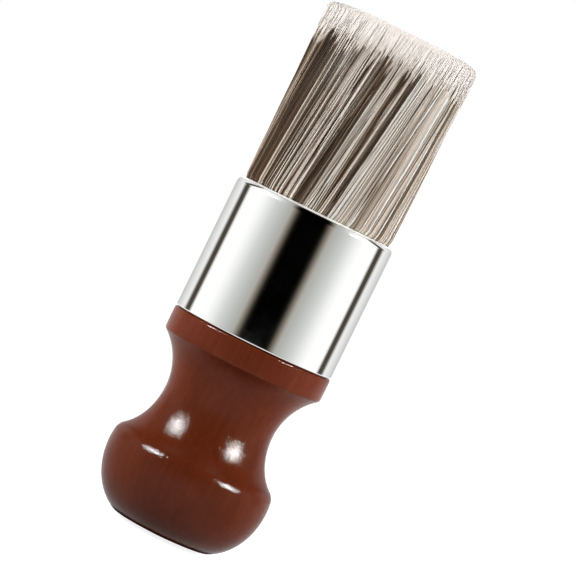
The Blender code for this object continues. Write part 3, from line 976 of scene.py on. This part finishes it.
def cloth_material(name, bands, glow, leads=False):
    """Cloth round the brush that only its gloss mirrors, in bands by angle from the camera.
    It reaches higher at the sides, and above it the room is dark. The card over the lip
    leads it: nearer the axis it takes its colours from further round."""
    made, add, shader = new_material(name)
    place = add("TexCoord").outputs["Object"]
    toward = add("VectorMath", (place,), "NORMALIZE")
    axes = add("SeparateXYZ", (toward,)).outputs
    side = add("Math", (axes["X"],), "ABSOLUTE")
    front = add("Math", (axes["Y"], -1), "MULTIPLY")
    turned = add("Math", (side, front), "ARCTAN2")
    if leads:
        flat = add("VectorMath", (place, (1, 1, 0)), "MULTIPLY")
        reach = add("VectorMath", (flat,), "LENGTH").outputs["Value"]
        apart = add("Math", (reach, LEAD_RING), "SUBTRACT")
        lead = add("Math", (LEAD, apart), "DIVIDE")
        # It leads by nothing in front and by all of that from 64 degrees on
        wider = add("Math", (turned, 1.4), "MULTIPLY")
        quarter = add("Math", (wider, pi / 2), "MINIMUM")
        rising = add("Math", (quarter,), "SINE")
        part = add("Math", (rising, 2), "POWER")
        turned = add("Math", (lead, part, turned), "MULTIPLY_ADD")
    half_turn = add("Math", (turned, pi), "DIVIDE")
    cloth = add("ValToRGB", {"Fac": half_turn}, stops=[(at / 180, srgb(text)) for at, text in bands])
    over = add("Math", (side, -0.6, axes["Z"]), "MULTIPLY_ADD")
    dim = glow if leads else 0.03 * glow
    strength = add("MapRange", (over, 0.05, 0.3, glow, dim), interpolation_type="SMOOTHSTEP")
    glowing = add("Emission", {"Color": cloth, "Strength": strength})
    nodes = made.node_tree.nodes
    set_inputs(nodes["Material Output"], {"Surface": glowing})
    nodes.remove(shader)
    return made


def only_mirrored(name, material):
    """Ends a screen and keeps it out of all but gloss, so that it neither lights nor shades."""
    screen = settle(name)
    screen.data.materials.append(material)
    for rays in ("camera", "diffuse", "transmission", "volume_scatter", "shadow"):
        setattr(screen, "visible_" + rays, False)
    return screen


def lay_cloth(name, radius, height, bands, glow):
    """Lays a round cloth just over the floor."""
    bpy.ops.mesh.primitive_circle_add(
        vertices=ROUND_SEGMENTS, radius=radius, fill_type="NGON", location=(0, 0, height)
    )
    return only_mirrored(name, cloth_material(name, bands, glow))


def hang_card(s):
    """Hangs the card over the ferrule's lip."""
    radius = FERRULE_HIGH.x + CARD_REACH
    bpy.ops.mesh.primitive_circle_add(
        vertices=TURNED_SEGMENTS, radius=radius, location=(0, 0, FERRULE_HIGH.z + CARD_RISE)
    )
    edit()
    bpy.ops.mesh.extrude_edges_move()
    shrink = (FERRULE_HIGH.x + CARD_GAP) / radius
    bpy.ops.transform.resize(value=(shrink, shrink, 1))
    paint = cloth_material("lip_card", SCREENS, s.screen_glow, leads=True)
    return only_mirrored("lip_card", paint)


def facing_brush(turned, s):
    """Place and rotation of a softbox or panel that far round from the camera."""
    rise = s.lamp_rise
    toward = Vector((sin(turned) * cos(rise), -cos(turned) * cos(rise), sin(rise)))
    middle = Vector((0, 0, (CAD_LOW.z + CAD_HIGH.z) / 2))
    return middle + toward * s.lamp_distance, toward.to_track_quat("Z", "Y").to_euler()


def add_lamp(name, place, rotation, sides, power):
    """Adds a rectangular lamp that gives light but is neither seen nor mirrored."""
    bpy.ops.object.light_add(type="AREA", location=place, rotation=rotation)
    lamp = bpy.context.object
    lamp.name = name
    lamp.data.shape = "RECTANGLE"
    lamp.data.size, lamp.data.size_y = sides
    lamp.data.energy = power
    lamp.visible_camera = False
    lamp.visible_glossy = False


class POLISH_BRUSH_OT_set_stage(bpy.types.Operator):
    """Lays the floor, sets up the screens, the softboxes and the white room, and the camera"""
    bl_idname = "polish_brush.set_stage"
    bl_label = "Set Stage"

    def execute(self, context):
        s = context.scene.polish_brush_stage
        white_world(s)

        deselect()
        bpy.ops.mesh.primitive_plane_add(size=FLOOR_SIZE)
        floor = settle("floor")
        floor.data.materials.append(pale_floor(s))
        bpy.ops.mesh.primitive_uv_sphere_add(
            segments=ROUND_SEGMENTS, ring_count=ROUND_SEGMENTS // 2, radius=s.screen_distance
        )
        walls = cloth_material("studio_screens", SCREENS, s.screen_glow)
        screens = only_mirrored("screens", walls)
        cloths = lay_cloth("floor_cloths", s.screen_distance, mm(0.3), FLOOR_CLOTHS, glow=1.3)
        near = lay_cloth("near_cloth", NEAR_REACH, mm(0.6), NEAR_CLOTH, glow=1.6)
        shade = lay_cloth("foot_shade", SHADE_REACH, mm(0.9), FOOT_SHADE, glow=1)
        card = hang_card(s)
        gleam, _, shader = new_material("softbox_gleam")
        set_inputs(shader, {
            "Base Color": (0, 0, 0, 1), "Emission Color": (1, 1, 1, 1),
            "Emission Strength": s.lamp_gleam,
        })

        sides = (s.lamp_width, s.lamp_height)
        for side, name in ((-1, "left"), (1, "right")):
            place, rotation = facing_brush(side * s.lamp_turn, s)
            add_lamp("softbox_" + name, place, rotation, sides, s.lamp_power)
            place, rotation = facing_brush(side * s.gleam_turn, s)
            bpy.ops.mesh.primitive_plane_add(size=1, location=place, rotation=rotation)
            context.object.scale = (*sides, 1)
            panel = only_mirrored("gleam_" + name, gleam)
            place = (side * s.strip_distance, 0, s.strip_height)
            rotation = (0, side * pi / 2, 0)
            add_lamp("strip_" + name, place, rotation, STRIP_SIZE, s.strip_power)

        place = Vector((s.aim_right, -s.camera_distance, s.camera_height))
        aim = Vector((s.aim_right, 0, s.aim_height))
        bpy.ops.object.camera_add(location=place)
        camera = context.object
        camera.name = "camera"
        look = (place - aim).to_track_quat("Z", "Y")
        roll = Quaternion((0, 0, 1), s.tilt)
        camera.rotation_euler = (look @ roll).to_euler()
        camera.data.sensor_width = SENSOR_WIDTH
        camera.data.lens = SENSOR_WIDTH * s.camera_distance / s.picture_width
        camera.data.clip_end = 2.5 * FLOOR_SIZE
        context.scene.camera = camera
        context.scene.view_settings.view_transform = "Standard"
        return {"FINISHED"}


SETTINGS = {
    "polish_brush_handle": HandleSettings,
    "polish_brush_ferrule": FerruleSettings,
    "polish_brush_binding": BindingSettings,
    "polish_brush_knot": KnotSettings,
    "polish_brush_stage": StageSettings,
}
OPERATORS = (
    POLISH_BRUSH_OT_turn_handle,
    POLISH_BRUSH_OT_draw_ferrule,
    POLISH_BRUSH_OT_wind_binding,
    POLISH_BRUSH_OT_fill_knot,
    POLISH_BRUSH_OT_pour_fillings,
    POLISH_BRUSH_OT_set_stage,
)


class POLISH_BRUSH_PT_steps(bpy.types.Panel):
    """The steps of making the brush, in order, over the sizes and colours that they use"""
    bl_idname = "POLISH_BRUSH_PT_steps"
    bl_label = "Leather Polish Brush"
    bl_space_type = "VIEW_3D"
    bl_region_type = "UI"
    bl_category = "Brush"

    def draw(self, context):
        layout = self.layout
        for operator in OPERATORS:
            layout.operator(operator.bl_idname)
        for name, group in SETTINGS.items():
            box = layout.box()
            box.label(text=name.removeprefix("polish_brush_").title())
            for key in group.__annotations__:
                box.prop(getattr(context.scene, name), key)


CLASSES = (*SETTINGS.values(), *OPERATORS, POLISH_BRUSH_PT_steps)


def register():
    for made in CLASSES:
        bpy.utils.register_class(made)
    for name, group in SETTINGS.items():
        setattr(bpy.types.Scene, name, bpy.props.PointerProperty(type=group))


def unregister():
    for name in SETTINGS:
        delattr(bpy.types.Scene, name)
    for made in reversed(CLASSES):
        bpy.utils.unregister_class(made)


def main():
    register()
    bpy.ops.polish_brush.turn_handle()
    bpy.ops.polish_brush.draw_ferrule()
    bpy.ops.polish_brush.wind_binding()
    bpy.ops.polish_brush.fill_knot()
    bpy.ops.polish_brush.pour_fillings()
    bpy.ops.polish_brush.set_stage()


if __name__ == "__main__":
    main()
